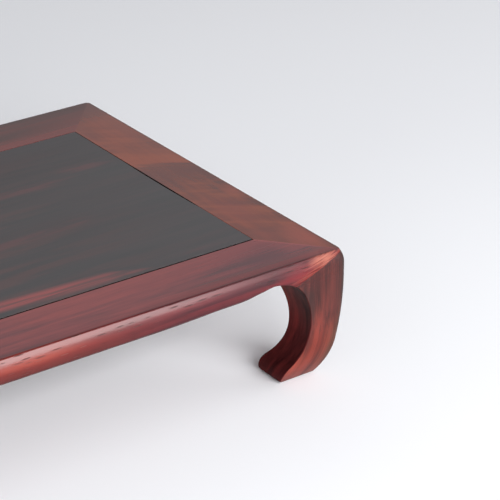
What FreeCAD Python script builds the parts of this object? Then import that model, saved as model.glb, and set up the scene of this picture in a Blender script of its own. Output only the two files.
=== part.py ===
import FreeCAD, Part
import math
import os

Vector = FreeCAD.Vector

# Low wooden stand: a mitred frame with a flush floating panel, on four hoof legs that curve inwards.
# Millimetres. X runs along the length, Y from front to back, Z up from the floor.
# The origin is on the floor under the middle of the stand.

# Overall sizes, over the rounded outer edge of the frame
stand_length = 302.4
stand_depth = 203.8
stand_height = 60.0

# Rails
long_rail_width = 28.3  # flat top of the front and back rails
short_rail_width = 24.8  # flat top of the side rails
rail_thickness = 10.5
edge_bulge = 1.75  # the rounded outer edge stands out this far past the flat top
edge_crest_drop = 6.0  # depth below the top where it stands out most

# Low arch under each end of a rail, measured from the edge of the flat top
arch_crown_reach = 33.75
arch_rise = 2.9
arch_run = 62.0  # from the crown to where the underside is flat again

# Outer curve of a leg
heel_height = 17.4  # height where the outer face tightens into the heel
heel_lean = 2.35  # how far the face leans in from the underside of the rails down to that height
heel_setback = 7.5  # from the edge of the flat top in to the outer edge of the sole

# Inner curve of a leg seen from the front, measured from the edge of the flat top
front_waist_reach = 15.85
front_waist_height = 28.9
front_hoof_reach = 26.6
front_hoof_height = 9.0  # height where the inner curve turns over into the toe
front_shoulder_turn = math.radians(28.5)  # turn of the upper inner curve before it tightens towards the arch

# The same curve seen from the side, where the leg is slimmer and its waist is lower
side_waist_reach = 14.75
side_waist_height = 23.0
side_hoof_reach = 22.5
side_hoof_height = 8.9
side_shoulder_turn = math.radians(34)

# Both views of a leg
toe_edge_radius = 2.5
leg_mitre_drop = 0.8  # depth below the top where the mitre of a leg starts at the corner

# Tenons and pegs
leg_tenon_side = 6.0
leg_tenon_cover = 3.0  # wood left over the tenon of a leg
rail_tenon_width = 4.0
rail_tenon_thickness = 3.5
rail_tenon_cover = 3.0  # wood left over the tenon of a short rail
rail_tenon_stop = 8.0  # from the edge of a long rail's flat top to the end of the tenon
tenon_wall = 1.0  # wood left between a tenon and its neighbour
tenon_end_gap = 0.5  # glue room at the end of a mortise
peg_diameter = 2.2
peg_inset = 4.0  # from the end of a tenon to the middle of its peg
peg_cover = 1.8  # wood left over a peg

# Panel
panel_thickness = 6.5
panel_gap = 0.5  # fine gap between the panel and the rails
tongue_length = 3.5  # how far the tongue enters its groove
tongue_thickness = 2.4
tongue_cover = 2.8  # wood over the tongue
groove_depth = 4.0
groove_clearance = 0.1

# Battens under the panel
batten_spacing = 120.0
batten_width = 10.0
batten_depth = 4.0
batten_tenon_width = 7.0
batten_tenon_thickness = 2.5
batten_tenon_length = 4.0
dovetail_neck = 6.0
dovetail_flare = 0.7  # how far each flank of the dovetail spreads
dovetail_height = 1.6

# Places that follow from the sizes above
half_length = stand_length / 2 - edge_bulge  # to the edge of the flat top
half_depth = stand_depth / 2 - edge_bulge
underside = stand_height - rail_thickness
opening_half_length = half_length - short_rail_width
opening_half_depth = half_depth - long_rail_width
panel_underside = stand_height - panel_thickness
rail_tenon_end = short_rail_width - groove_depth - tenon_wall
rail_tenon_start = rail_tenon_end - rail_tenon_width
leg_tenon_end = rail_tenon_start - tenon_wall
leg_tenon_start = leg_tenon_end - leg_tenon_side
past = 5.0  # how far a cutting shape reaches past what it cuts

LEFT, RIGHT = -1, 1
FRONT, BACK = -1, 1
UP, DOWN = math.pi / 2, -math.pi / 2


class Outline:
    """Outline in the XZ plane, walked as straight runs and arcs that carry on in the same direction."""

    def __init__(self, across, up, heading):
        self.at = Vector(across, 0, up)
        self.heading = heading
        self.edges = []

    def run_to(self, across, up, heading):
        end = Vector(across, 0, up)
        if (end - self.at).Length > 1e-6:
            self.edges.append(Part.LineSegment(self.at, end).toShape())
        self.at = end
        self.heading = heading

    def arc(self, radius, turn):
        """Turns left where turn is positive, right where it is negative."""
        outwards = self.heading - math.copysign(UP, turn)
        centre = self.at - radius * bearing(outwards)
        middle = centre + radius * bearing(outwards + turn / 2)
        end = centre + radius * bearing(outwards + turn)
        self.edges.append(Part.Arc(self.at, middle, end).toShape())
        self.at = end
        self.heading += turn

    def extruded(self, start, end):
        face = Part.Face(Part.Wire(self.edges))
        face.translate(Vector(0, start, 0))
        return face.extrude(Vector(0, end - start, 0))


def bearing(angle):
    return Vector(math.cos(angle), 0, math.sin(angle))


def block(low, high):
    return Part.makeBox(high[0] - low[0], high[1] - low[1], high[2] - low[2], Vector(*low))


def at_corner(shape, side, end):
    """Carries a shape from the front left corner, drawn from the edges of the flat top, to a corner."""
    placed = shape.copy()
    placed.translate(Vector(-half_length, -half_depth, 0))
    if side == RIGHT:
        placed = placed.mirror(Vector(0, 0, 0), Vector(1, 0, 0))
    if end == BACK:
        placed = placed.mirror(Vector(0, 0, 0), Vector(0, 1, 0))
    return placed


def turned_inwards(shape):
    """Swaps X and Y, so that what faces the front of a corner faces its side."""
    return shape.mirror(Vector(0, 0, 0), Vector(1, -1, 0).normalize())


# Curves shared by the rails and the legs

def edge_curve():
    """Radius and turn of the rounded edge, from its crest up to the flat top."""
    radius = (edge_crest_drop ** 2 + edge_bulge ** 2) / (2 * edge_bulge)
    return radius, math.asin(edge_crest_drop / radius)


class InnerCurve:
    """Inner curve of a leg from its toe up to the crown of the arch, in one of its two views."""

    def __init__(self, waist_reach, waist_height, hoof_reach, hoof_height, shoulder_turn):
        self.waist_height = waist_height
        self.hoof_reach = hoof_reach
        self.hoof_height = hoof_height
        self.toe_turn = 2 * math.atan((hoof_reach - waist_reach) / (waist_height - toe_edge_radius))
        self.shoulder_turn = shoulder_turn
        reach = arch_crown_reach - waist_reach
        rise = underside + arch_rise - waist_height
        sine, cosine = math.sin(shoulder_turn), math.cos(shoulder_turn)
        self.shoulder_radius = (rise * cosine - reach * (1 - sine)) / (sine + cosine - 1)
        self.crown_radius = (reach - self.shoulder_radius * (1 - cosine)) / cosine
        self.foot_turn = math.acos(1 - arch_rise / self.crown_radius)  # left from the mitre to the crown
        self.mitre_foot = arch_crown_reach - self.crown_radius * math.sin(self.foot_turn)


front_curve = InnerCurve(
    front_waist_reach, front_waist_height, front_hoof_reach, front_hoof_height, front_shoulder_turn
)
side_curve = InnerCurve(
    side_waist_reach, side_waist_height, side_hoof_reach, side_hoof_height, side_shoulder_turn
)


# Legs

def leg_outline(curve):
    """One view of a leg and of the wood above it, with the edge of the flat top at zero."""
    outline = Outline(-edge_bulge, stand_height - edge_crest_drop, DOWN)
    outline.run_to(-edge_bulge, underside, DOWN)

    face_drop = underside - heel_height
    face_turn = 2 * math.atan(heel_lean / face_drop)
    outline.arc(face_drop / math.sin(face_turn), face_turn)
    heel_slope = math.atan((heel_setback + edge_bulge - heel_lean) / heel_height)
    sole_turn = 2 * heel_slope - face_turn
    heel_radius = heel_height / (math.sin(sole_turn) - math.sin(face_turn))
    outline.arc(heel_radius, sole_turn - face_turn)

    outline.run_to(curve.hoof_reach - toe_edge_radius, 0, 0)
    outline.arc(toe_edge_radius, UP)
    outline.arc((curve.hoof_height - toe_edge_radius) / math.sin(curve.toe_turn), curve.toe_turn)
    outline.arc((curve.waist_height - curve.hoof_height) / math.sin(curve.toe_turn), -curve.toe_turn)
    outline.arc(curve.shoulder_radius, -curve.shoulder_turn)
    outline.arc(curve.crown_radius, curve.shoulder_turn - UP)
    outline.run_to(arch_crown_reach, stand_height, math.pi)
    edge_radius, edge_turn = edge_curve()
    outline.run_to(0, stand_height, math.pi + UP - edge_turn)
    outline.arc(edge_radius, edge_turn)
    return outline


def above_leg_mitre(curve):
    """Wedge over the mitre, which rises from the inner curve to the outer corner."""
    slope = (rail_thickness - leg_mitre_drop) / curve.mitre_foot
    start = stand_height - leg_mitre_drop
    low, high = -edge_bulge - past, arch_crown_reach + past
    wedge = Outline(low, start - slope * low, 0)
    wedge.run_to(high, start - slope * high, UP)
    wedge.run_to(high, stand_height + past, math.pi)
    wedge.run_to(low, stand_height + past, DOWN)
    wedge.run_to(low, start - slope * low, 0)
    return wedge


def leg_tenon(cover):
    low = (leg_tenon_start, leg_tenon_start, underside)
    high = (leg_tenon_end, leg_tenon_end, stand_height - cover)
    return block(low, high)


def leg_view(curve):
    """Endless leg of that view along Y, mitred at its top."""
    low, high = -edge_bulge - past, arch_crown_reach + past
    return leg_outline(curve).extruded(low, high).cut(above_leg_mitre(curve).extruded(low, high))


def leg():
    """Leg at the front left corner: what its two views share, mitred on both outer faces to a peak."""
    shape = leg_view(front_curve).common(turned_inwards(leg_view(side_curve)))
    return shape.fuse(leg_tenon(leg_tenon_cover)).removeSplitter()


# Rails

def edged_strip(half_width, length):
    """Endless board of the frame's thickness with the rounded edge along both sides, running along Y."""
    edge_radius, edge_turn = edge_curve()
    crest = stand_height - edge_crest_drop
    outer = half_width + edge_bulge
    outline = Outline(-outer, underside, 0)
    outline.run_to(outer, underside, UP)
    outline.run_to(outer, crest, UP)
    outline.arc(edge_radius, edge_turn)
    outline.run_to(-half_width, stand_height, math.pi + UP - edge_turn)
    outline.arc(edge_radius, edge_turn)
    outline.run_to(-outer, underside, 0)
    return outline.extruded(-length, length)


def edged_board():
    """Whole frame as one board with the rounded edge all round, from which the rails are parted."""
    across = edged_strip(half_length, stand_depth)
    along = edged_strip(half_depth, stand_length)
    along.rotate(Vector(0, 0, 0), Vector(0, 0, 1), 90)
    return along.common(across)


def mitred_share(board, corners):
    """Part of the board between two mitres, given the two corners (side, end) of the frame that it joins."""
    inner = []
    outer = []
    for side, end in corners:
        opening = Vector(side * opening_half_length, end * opening_half_depth, underside)
        flat_corner = Vector(side * half_length, end * half_depth, underside)
        inner.append(opening)
        outer.append(flat_corner + (flat_corner - opening))
    points = [outer[0], outer[1], inner[1], inner[0], outer[0]]
    share = Part.Face(Part.makePolygon(points)).extrude(Vector(0, 0, rail_thickness))
    return board.common(share)


def arch_cut(curve, rail_width):
    """Hollow under the front left end of a rail, from the inner curve of the leg to the flat underside."""
    fall_turn = 2 * math.atan(arch_rise / arch_run)
    long_radius = arch_run / math.sin(fall_turn) - curve.crown_radius
    hollow = Outline(curve.mitre_foot, underside - past, UP)
    hollow.run_to(curve.mitre_foot, underside, curve.foot_turn)
    hollow.arc(curve.crown_radius, -curve.foot_turn - fall_turn)
    hollow.arc(long_radius, fall_turn)
    hollow.run_to(arch_crown_reach + arch_run, underside - past, math.pi)
    hollow.run_to(curve.mitre_foot, underside - past, UP)
    return hollow.extruded(-edge_bulge - past, rail_width + past)


def rail_tenon(end_gap):
    """Tenon of a short rail at the front left corner, running into the long rail."""
    top = stand_height - rail_tenon_cover
    low = (rail_tenon_start, rail_tenon_stop - end_gap, top - rail_tenon_thickness)
    high = (rail_tenon_end, long_rail_width, top)
    return block(low, high)


def peg_hole():
    middle = (rail_tenon_start + rail_tenon_end) / 2
    foot = Vector(middle, rail_tenon_stop + peg_inset, underside)
    return Part.makeCylinder(peg_diameter / 2, rail_thickness - peg_cover, foot)


def panel_groove():
    length = opening_half_length + groove_depth
    depth = opening_half_depth + groove_depth
    bottom = stand_height - tongue_cover - tongue_thickness
    return block((-length, -depth, bottom), (length, depth, bottom + tongue_thickness + groove_clearance))


def batten_mortises(batten):
    """Blind holes for the tenons of a batten, a little deeper than the tenons are long."""
    return batten_tenons(batten, opening_half_depth + batten_tenon_length + tenon_end_gap)


def short_rail(board, side, corner_legs):
    rail = mitred_share(board, [(side, FRONT), (side, BACK)])
    rail = rail.cut(panel_groove())
    for end in (FRONT, BACK):
        rail = rail.cut(at_corner(turned_inwards(arch_cut(side_curve, short_rail_width)), side, end))
        rail = rail.fuse(at_corner(rail_tenon(0), side, end))
        rail = rail.cut(at_corner(peg_hole(), side, end))
        rail = rail.cut(at_corner(leg_tenon(leg_tenon_cover - tenon_end_gap), side, end))
        rail = rail.cut(corner_legs[side, end])
    return rail.removeSplitter()


def long_rail(board, end, corner_legs):
    rail = mitred_share(board, [(LEFT, end), (RIGHT, end)])
    rail = rail.cut(panel_groove())
    for side in (LEFT, RIGHT):
        rail = rail.cut(at_corner(arch_cut(front_curve, long_rail_width), side, end))
        rail = rail.cut(at_corner(rail_tenon(tenon_end_gap), side, end))
        rail = rail.cut(at_corner(peg_hole(), side, end))
        rail = rail.cut(at_corner(leg_tenon(leg_tenon_cover - tenon_end_gap), side, end))
        rail = rail.cut(corner_legs[side, end])
        rail = rail.cut(batten_mortises(side))
    return rail.removeSplitter()


# Panel and battens

def batten_tenons(side, reach):
    middle = side * batten_spacing / 2
    low = (middle - batten_tenon_width / 2, -reach, panel_underside - batten_tenon_thickness)
    high = (middle + batten_tenon_width / 2, reach, panel_underside)
    return block(low, high)


def dovetail(side):
    """Rib along a batten that widens upwards into the panel."""
    middle = side * batten_spacing / 2
    neck = dovetail_neck / 2
    head = neck + dovetail_flare
    top = panel_underside + dovetail_height
    field = opening_half_depth - panel_gap
    rib = Outline(middle - neck, panel_underside, 0)
    rib.run_to(middle + neck, panel_underside, UP)
    rib.run_to(middle + head, top, math.pi)
    rib.run_to(middle - head, top, DOWN)
    rib.run_to(middle - neck, panel_underside, 0)
    return rib.extruded(-field, field)


def batten(side):
    middle = side * batten_spacing / 2
    low = (middle - batten_width / 2, -opening_half_depth, panel_underside - batten_depth)
    high = (middle + batten_width / 2, opening_half_depth, panel_underside)
    shape = block(low, high)
    shape = shape.fuse(batten_tenons(side, opening_half_depth + batten_tenon_length))
    return shape.fuse(dovetail(side)).removeSplitter()


def centre_panel():
    """Board flush with the rails, with a thinner tongue all round that floats in their grooves."""
    field_length = opening_half_length - panel_gap
    field_depth = opening_half_depth - panel_gap
    field = block((-field_length, -field_depth, panel_underside), (field_length, field_depth, stand_height))
    tongue_half_length = opening_half_length + tongue_length
    tongue_half_depth = opening_half_depth + tongue_length
    tongue_bottom = stand_height - tongue_cover - tongue_thickness
    low = (-tongue_half_length, -tongue_half_depth, tongue_bottom)
    high = (tongue_half_length, tongue_half_depth, tongue_bottom + tongue_thickness)
    panel = field.fuse(block(low, high)).removeSplitter()
    for side in (LEFT, RIGHT):
        panel = panel.cut(dovetail(side))
    return panel


def build():
    side_names = {LEFT: "left", RIGHT: "right"}
    end_names = {FRONT: "front", BACK: "back"}
    corner_leg = leg()
    corner_peg = peg_hole().cut(corner_leg)
    board = edged_board()
    pieces = {"centre_panel": centre_panel()}
    corner_legs = {}
    for side, side_name in side_names.items():
        pieces[side_name + "_batten"] = batten(side)
        for end, end_name in end_names.items():
            corner_legs[side, end] = at_corner(corner_leg, side, end)
            pieces[end_name + "_" + side_name + "_leg"] = corner_legs[side, end]
            pieces[end_name + "_" + side_name + "_peg"] = at_corner(corner_peg, side, end)
    for side, side_name in side_names.items():
        pieces[side_name + "_rail"] = short_rail(board, side, corner_legs)
    for end, end_name in end_names.items():
        pieces[end_name + "_rail"] = long_rail(board, end, corner_legs)
    return pieces


os.makedirs("parts", exist_ok=True)
for name, shape in build().items():
    shape.exportStep(os.path.join("parts", name + ".step"))
    print(name, "solids", len(shape.Solids), "valid", shape.isValid(), "volume", round(shape.Volume, 1))
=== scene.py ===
import math

import bmesh
import bpy
from mathutils import Matrix, Vector


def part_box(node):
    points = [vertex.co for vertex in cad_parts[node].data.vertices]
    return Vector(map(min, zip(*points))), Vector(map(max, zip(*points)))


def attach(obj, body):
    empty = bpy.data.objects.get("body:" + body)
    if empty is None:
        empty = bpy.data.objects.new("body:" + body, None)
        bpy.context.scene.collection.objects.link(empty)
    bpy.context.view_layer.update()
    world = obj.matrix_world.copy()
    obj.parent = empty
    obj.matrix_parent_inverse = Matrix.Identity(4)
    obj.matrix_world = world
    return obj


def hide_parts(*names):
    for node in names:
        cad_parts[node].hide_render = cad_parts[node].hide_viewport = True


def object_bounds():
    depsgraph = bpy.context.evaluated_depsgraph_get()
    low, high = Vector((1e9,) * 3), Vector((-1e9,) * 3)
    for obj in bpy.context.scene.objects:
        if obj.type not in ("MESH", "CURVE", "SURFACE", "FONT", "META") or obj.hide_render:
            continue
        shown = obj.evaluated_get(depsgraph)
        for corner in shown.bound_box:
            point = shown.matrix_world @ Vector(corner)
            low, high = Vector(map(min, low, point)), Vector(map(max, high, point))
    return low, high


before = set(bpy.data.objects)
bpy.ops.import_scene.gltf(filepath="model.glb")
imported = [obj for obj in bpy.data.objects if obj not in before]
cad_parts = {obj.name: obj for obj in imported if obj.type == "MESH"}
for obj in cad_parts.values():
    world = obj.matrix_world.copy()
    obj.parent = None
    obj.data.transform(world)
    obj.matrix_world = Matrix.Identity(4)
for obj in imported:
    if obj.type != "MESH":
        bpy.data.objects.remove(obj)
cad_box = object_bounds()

MM = 0.001
QUARTER_TURN = math.pi / 2
SAME_PLACE = 1e-6
SAME_HEIGHT = 1e-9
SAW_REACH = 1e-7

# Sizes read from the frame
box_high = cad_box[1]
front_rail_low, front_rail_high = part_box("front_rail")
right_rail_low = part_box("right_rail")[0]
panel_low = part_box("centre_panel")[0]

# The moulded edge of the rails
EDGE_BULGE = 1.75 * MM
EDGE_CREST_DROP = 6.0 * MM
RIM_EASE = 0.9 * MM
LOWER_EDGE_EASE = 1.5 * MM
LOWER_EDGE_SPAN = (26 * MM, 48 * MM)
CORNER_EASE = 2.4 * MM

top = front_rail_high.z
underside = front_rail_low.z
half_length = box_high.x - EDGE_BULGE
half_depth = box_high.y - EDGE_BULGE
opening_half_length = right_rail_low.x
opening_half_depth = -front_rail_high.y
long_rail_width = half_depth - opening_half_depth
short_rail_width = half_length - opening_half_length
crest_height = top - EDGE_CREST_DROP
edge_radius = (EDGE_CREST_DROP ** 2 + EDGE_BULGE ** 2) / (2 * EDGE_BULGE)
rim_lean = math.acos(EDGE_CREST_DROP / edge_radius)

# The arch that the rails make over each leg, and the small wave beside it
ARCH_CROWN_REACH = 33.75 * MM
ARCH_RISE = 2.9 * MM
ARCH_RUN = 62 * MM
WAVE_DIP = 0.62 * MM
WAVE_DIP_SPAN = (41.5 * MM, 49 * MM, 50 * MM, 66 * MM)
WAVE_LIFT = 0.5 * MM
WAVE_LIFT_SPAN = (30.5 * MM, 35.5 * MM, 36.5 * MM, 42 * MM)
crown_height = underside + ARCH_RISE
arch_end = ARCH_CROWN_REACH + ARCH_RUN

# The outer faces of a hoof leg
HEEL_HEIGHT = 17.4 * MM
HEEL_LEAN = 2.35 * MM
HEEL_SETBACK = 7.5 * MM
HEEL_CORNER_EASE = 1.4 * MM
LEG_MITRE_DROP = 0.8 * MM
SOLE_EASE = 0.8 * MM
TOE_EASE = 2.5 * MM
ARRIS_EASE = 0.6 * MM
face_drop = underside - HEEL_HEIGHT
face_turn = 2 * math.atan(HEEL_LEAN / face_drop)
face_radius = face_drop / math.sin(face_turn)
heel_slope = math.atan((HEEL_SETBACK + EDGE_BULGE - HEEL_LEAN) / HEEL_HEIGHT)
sole_turn = 2 * heel_slope - face_turn
heel_radius = HEEL_HEIGHT / (math.sin(sole_turn) - math.sin(face_turn))

# The panel in its groove, and the battens under it
GROOVE_DEPTH = 4.0 * MM
GROOVE_COVER = 2.7 * MM
GROOVE_OPENING = 2.6 * MM
TONGUE_REACH = 3.5 * MM
TONGUE_COVER = 2.8 * MM
TONGUE_THICKNESS = 2.4 * MM
PANEL_EASE = 0.15 * MM
INNER_EASE = 0.2 * MM
BATTEN_EASE = 0.5 * MM

# The gap round the panel; the right one varies from front (-1) to back (1) and is in millimetres
PANEL_GAP = 0.8 * MM
PANEL_BACK_GAP = 0.15 * MM
PANEL_RIGHT_GAPS = {-1: 0.05, -0.45: 0.06, -0.35: 0.4, -0.1: 0.7, 0.2: 0.65, 0.4: 0.3, 1: 0.2}


def bow(radius, run):
    """How far an arc falls away from its tangent after that run."""
    return radius - math.sqrt(max(radius * radius - run * run, 0))


def blended(value, start, end):
    """0 before start, 1 after end, and a smooth rise between them."""
    share = min(max((value - start) / (end - start), 0), 1)
    return share * share * (3 - 2 * share)


def swell(value, start, full, falling, end):
    """1 between full and falling, and a smooth fall to 0 at start and at end."""
    return blended(value, start, full) * blended(value, end, falling)


def arch_wave(inwards):
    """The small wave in a rail's lower edge where the arch springs up beside the leg."""
    return WAVE_LIFT * swell(inwards, *WAVE_LIFT_SPAN) - WAVE_DIP * swell(inwards, *WAVE_DIP_SPAN)


class InnerCurve:
    """The hollow side of a leg and the arch above it, seen from the front or from the side."""

    def __init__(self, waist_reach, waist_height, hoof_reach, hoof_height, shoulder_degrees):
        self.waist_reach = waist_reach
        self.waist_height = waist_height
        self.hoof_reach = hoof_reach
        self.hoof_height = hoof_height
        toe_turn = 2 * math.atan((hoof_reach - waist_reach) / (waist_height - TOE_EASE))
        self.tip_radius = (hoof_height - TOE_EASE) / math.sin(toe_turn)
        self.hollow_radius = (waist_height - hoof_height) / math.sin(toe_turn)
        reach = ARCH_CROWN_REACH - waist_reach
        rise = crown_height - waist_height
        sine = math.sin(math.radians(shoulder_degrees))
        cosine = math.cos(math.radians(shoulder_degrees))
        self.shoulder_radius = (rise * cosine - reach * (1 - sine)) / (sine + cosine - 1)
        self.crown_radius = (reach - self.shoulder_radius * (1 - cosine)) / cosine
        self.shoulder_top = waist_height + self.shoulder_radius * sine
        fall_turn = 2 * math.atan(ARCH_RISE / ARCH_RUN)
        self.long_radius = ARCH_RUN / math.sin(fall_turn) - self.crown_radius
        self.arch_joint = ARCH_CROWN_REACH + self.crown_radius * math.sin(fall_turn)
        foot_rise = self.crown_radius - ARCH_RISE
        self.mitre_foot = ARCH_CROWN_REACH - math.sqrt(self.crown_radius ** 2 - foot_rise ** 2)
        self.mitre_slope = (top - LEG_MITRE_DROP - underside) / self.mitre_foot

    def leg_inside(self, height):
        """How far inwards from the rim the leg's inner face is."""
        if height < TOE_EASE:
            return self.hoof_reach - bow(TOE_EASE, TOE_EASE - height)
        if height < self.hoof_height:
            return self.hoof_reach - bow(self.tip_radius, height - TOE_EASE)
        if height < self.waist_height:
            return self.waist_reach + bow(self.hollow_radius, self.waist_height - height)
        if height < self.shoulder_top:
            return self.waist_reach + bow(self.shoulder_radius, height - self.waist_height)
        if height <= underside:
            rise = height - (crown_height - self.crown_radius)
            return ARCH_CROWN_REACH - math.sqrt(self.crown_radius ** 2 - rise ** 2)
        return self.mitre_foot

    def rail_underside(self, inwards):
        """The height of a rail's lower edge at that distance from the end of its rim."""
        if inwards <= self.mitre_foot or inwards >= arch_end:
            return underside
        if inwards <= self.arch_joint:
            return crown_height - bow(self.crown_radius, inwards - ARCH_CROWN_REACH) + arch_wave(inwards)
        return underside + bow(self.long_radius, arch_end - inwards) + arch_wave(inwards)


front_curve = InnerCurve(
    waist_reach=15.85 * MM,
    waist_height=28.9 * MM,
    hoof_reach=26.6 * MM,
    hoof_height=9.0 * MM,
    shoulder_degrees=28.5,
)
side_curve = InnerCurve(
    waist_reach=14.75 * MM,
    waist_height=23.0 * MM,
    hoof_reach=22.5 * MM,
    hoof_height=8.9 * MM,
    shoulder_degrees=34.0,
)


def edge_reach(height):
    """How far the moulded edge stands out from the rim of the flat top."""
    if height > crest_height:
        return EDGE_BULGE - bow(edge_radius, height - crest_height)
    return EDGE_BULGE


def leg_outside(height):
    """How far the leg's outer face stands out from the rim of the flat top."""
    if height >= underside:
        return edge_reach(height)
    if height >= HEEL_HEIGHT:
        return EDGE_BULGE - bow(face_radius, underside - height)
    turn = math.asin(math.sin(face_turn) + (HEEL_HEIGHT - height) / heel_radius)
    return EDGE_BULGE - HEEL_LEAN - heel_radius * (math.cos(face_turn) - math.cos(turn))


def even_steps(start, end, count):
    """Evenly spaced values from start to end, both included."""
    return [start + (end - start) * step / count for step in range(count + 1)]


# Joinery
def sweep(points, stations, place):
    """A tube: a ring of points, extruded from station to station and set out by place()."""
    shape = bmesh.new()
    order = shape.verts.layers.int.new("order")
    ring = [shape.verts.new(place(point, stations[0])) for point in points]
    for number, vert in enumerate(ring):
        vert[order] = number
    edges = [shape.edges.new((ring[number - 1], ring[number])) for number in range(len(ring))]
    for station in stations[1:]:
        grown = bmesh.ops.extrude_edge_only(shape, edges=edges)["geom"]
        edges = [item for item in grown if isinstance(item, bmesh.types.BMEdge)]
        for vert in [item for item in grown if isinstance(item, bmesh.types.BMVert)]:
            vert.co = place(points[vert[order]], station)
    return shape


def close_ends(shape):
    """Faces over every open ring."""
    open_edges = [edge for edge in shape.edges if edge.is_boundary]
    bmesh.ops.holes_fill(shape, edges=open_edges, sides=0)


def all_of(shape):
    """Every corner, edge and face of a shape."""
    return shape.verts[:] + shape.edges[:] + shape.faces[:]


def saw(shape, point, direction):
    """Cuts off what lies beyond a plane and closes the cut."""
    cut = bmesh.ops.bisect_plane(
        shape, geom=all_of(shape), dist=SAW_REACH, plane_co=point, plane_no=direction, clear_outer=True
    )
    edges = [item for item in cut["geom_cut"] if isinstance(item, bmesh.types.BMEdge)]
    bmesh.ops.holes_fill(shape, edges=edges, sides=0)


def set_out(name, data):
    """A new object in the scene, at the origin."""
    item = bpy.data.objects.new(name, data)
    bpy.context.scene.collection.objects.link(item)
    return item


# A mark on faces: its name, the way they face, and how far they face it where the mark starts and is full
# Faces that turn down or inwards get a duller polish; on the legs the same mark also lays painted shade
UNDERSIDE_MARKS = (("turned_away", Vector((0, 0, -1)), 0.3, 0.6),)
BOARD_SHARP_DEGREES = 35
LEG_SHARP_DEGREES = 50


def finish_piece(shape, name, nodes, material, sharp=BOARD_SHARP_DEGREES, marks=UNDERSIDE_MARKS):
    """Turns a shape into a piece that stands for CAD nodes, and marks faces by the way they face."""
    bmesh.ops.remove_doubles(shape, verts=shape.verts[:], dist=SAME_PLACE)
    bmesh.ops.recalc_face_normals(shape, faces=shape.faces[:])
    for face in shape.faces:
        face.smooth = True
    for edge in shape.edges:
        edge.smooth = edge.calc_face_angle(0) < math.radians(sharp)
    mesh = bpy.data.meshes.new(name)
    shape.to_mesh(mesh)
    shape.free()
    mesh.materials.append(material)
    for mark_name, way, start, full in marks:
        values = mesh.attributes.new(mark_name, "FLOAT", "FACE").data
        for face, mark in zip(mesh.polygons, values):
            mark.value = blended(face.normal.dot(way), start, full)
    piece = set_out(name, mesh)
    even = piece.modifiers.new("even_shading", "WEIGHTED_NORMAL")
    even.keep_sharp = True
    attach(piece, "root")
    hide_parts(*nodes)


# Rails
RIM_STEPS = 6
EDGE_STEPS = 8
LOWER_EDGE_STEPS = 5
RAIL_MIDDLE_STEPS = 4
ARCH_STEPS = 44
CROWN_STEPS = 10
MITRE_STEPS = 5
MITRE_START = 2 * MM
MITRE_END = 4 * MM
CORNER_STEPS = 18
CORNER_START = 3.0 * MM
CORNER_END = -2.2 * MM
INNER_EASE_CUT = 0.3 * INNER_EASE
groove_top = top - GROOVE_COVER
groove_low = groove_top - GROOVE_OPENING


def rail_section(width):
    """The outline across a rail: distance inwards from its rim, height, and turn round its lower edge."""
    section = [(width, top - INNER_EASE, None)]
    section += [(width - INNER_EASE_CUT, top - INNER_EASE_CUT, None), (width - INNER_EASE, top, None)]
    rim_start = RIM_EASE * math.tan(rim_lean / 2)
    for lean in even_steps(0, rim_lean, RIM_STEPS):
        height = top - RIM_EASE + RIM_EASE * math.cos(lean)
        section.append((rim_start - RIM_EASE * math.sin(lean), height, None))
    for lean in even_steps(rim_lean, QUARTER_TURN, EDGE_STEPS)[1:]:
        inwards = edge_radius - EDGE_BULGE - edge_radius * math.sin(lean)
        section.append((inwards, crest_height + edge_radius * math.cos(lean), None))
    for turn in even_steps(0, QUARTER_TURN, LOWER_EDGE_STEPS):
        section.append((0, underside, turn))
    section += [(width - INNER_EASE, underside, None), (width, underside + INNER_EASE, None)]
    section += [(width, groove_low, None), (width - GROOVE_DEPTH, groove_low, None)]
    section += [(width - GROOVE_DEPTH, groove_top, None), (width, groove_top, None)]
    return section


def make_rail(name, node, half_span, rim, width, other_width, curve, turn_degrees, material):
    """One rail of the frame, built at the front and turned into place."""

    def place(point, inwards):
        across, height, lower_turn = point
        low = curve.rail_underside(inwards)
        if lower_turn is not None:
            ease = ARRIS_EASE + (LOWER_EDGE_EASE - ARRIS_EASE) * blended(inwards, *LOWER_EDGE_SPAN)
            across = ease - EDGE_BULGE - ease * math.cos(lower_turn)
            height = low + ease - ease * math.sin(lower_turn)
        elif height < groove_low - SAME_HEIGHT:
            share = (groove_low - height) / (groove_low - underside)
            height = groove_low - share * (groove_low - low)
        round_from = across + CORNER_EASE
        if across < CORNER_EASE and inwards < round_from:
            across += bow(CORNER_EASE, min(round_from - inwards, CORNER_EASE))
        return (half_span - inwards, across - rim, height)

    stations = even_steps(half_span, arch_end, RAIL_MIDDLE_STEPS)
    stations += even_steps(arch_end, ARCH_CROWN_REACH, ARCH_STEPS)[1:]
    stations += even_steps(ARCH_CROWN_REACH, curve.mitre_foot, CROWN_STEPS)[1:]
    stations += even_steps(curve.mitre_foot - MITRE_START, MITRE_END, MITRE_STEPS)
    stations += even_steps(CORNER_START, CORNER_END, CORNER_STEPS)
    shape = sweep(rail_section(width), stations, place)
    end_ring = [edge for edge in shape.edges if edge.is_boundary and edge.verts[0].co.x > half_span]
    bmesh.ops.holes_fill(shape, edges=end_ring, sides=0)
    saw(shape, (half_span, 0, top - LEG_MITRE_DROP), (curve.mitre_slope, 0, -1))
    saw(shape, (half_span, -rim, 0), (width, other_width, 0))
    unturned = Matrix.Identity(4)
    bmesh.ops.mirror(shape, geom=all_of(shape), matrix=unturned, merge_dist=SAME_PLACE, axis="X")
    turned = Matrix.Rotation(math.radians(turn_degrees), 3, "Z")
    bmesh.ops.rotate(shape, verts=shape.verts[:], matrix=turned)
    finish_piece(shape, name, [node], material)


# Legs
LEG_CORNERS = 4
LEG_CORNER_STEPS = 5
SOLE_STEPS = 3
HOOF_STEPS = 20
FACE_STEPS = 34
CREST_STEPS = 4
SHOULDER_STEP = 0.2 * MM
HOLLOW_FACING = (-0.75, -0.3)
ARRIS_FACING = (1.15, 1.39)


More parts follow.
